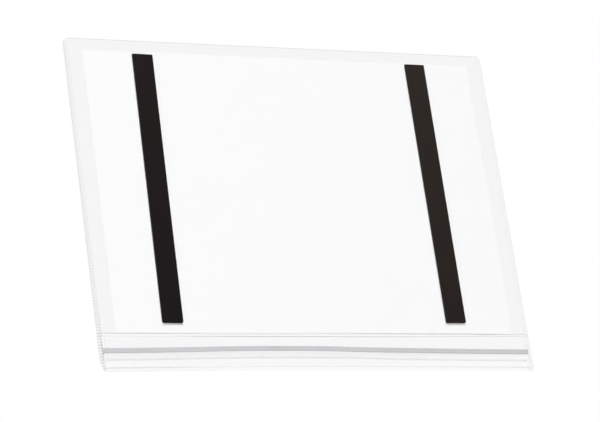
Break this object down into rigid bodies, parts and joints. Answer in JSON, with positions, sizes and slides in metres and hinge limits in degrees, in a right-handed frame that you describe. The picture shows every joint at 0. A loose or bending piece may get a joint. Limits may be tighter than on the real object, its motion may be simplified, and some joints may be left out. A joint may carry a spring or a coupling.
{
  "type": "magnetic document pouch",
  "caption": "Clear landscape document pouch with a tuck-in closing flap, a loose insert sheet and magnetic strips on its back.",
  "frame": {"origin": "middle of the front face, which the pouch lies on", "axes": "+X along the mouth, +Y from the closure to the closed top, +Z out of the back, where the magnetic strips are"},
  "size_m": [0.323, 0.2454, 0.0073],
  "materials": {
    "film": "clear, glossy",
    "weld": "clear, finely ribbed",
    "lip": "clear, slightly grey",
    "sheet": "matt white",
    "strip": "satin near-black",
    "tape": "matt, translucent"
  },
  "bodies": {
    "pouch": {"front_panel": "film", "back_panel": "film", "top_fold": "film", "bottom_fold": "film", "left_weld": "weld", "right_weld": "weld", "retaining_hood": "film", "hood_lip": "lip", "left_magnetic_strip": "strip", "right_magnetic_strip": "strip", "left_adhesive_tape": "tape", "right_adhesive_tape": "tape"},
    "spine": {"crease_spine": "film"},
    "flap": {"closing_flap": "film"},
    "sheet": {"insert_sheet": "sheet"}
  },
  "joints": [
    {"name": "spine_fold", "type": "hinge", "parent": "pouch", "child": "spine", "pos_m": [0, -0.09575, 0.0014], "axis": [-1, 0, 0], "range_deg": [0, 83], "deforming": ["retaining_hood", "hood_lip"]},
    {"name": "flap_fold", "type": "hinge", "parent": "spine", "child": "flap", "pos_m": [0, -0.09755, 0.0014], "axis": [-1, 0, 0], "range_deg": [0, 83], "deforming": ["retaining_hood", "hood_lip"]},
    {"name": "sheet_slide", "type": "slide", "parent": "pouch", "child": "sheet", "axis": [0, 1, 0], "range_m": [-0.0256, 0.007]}
  ],
  "couplings": [
    {"joint": "flap_fold", "follows": "spine_fold", "ratio": 1}
  ]
}
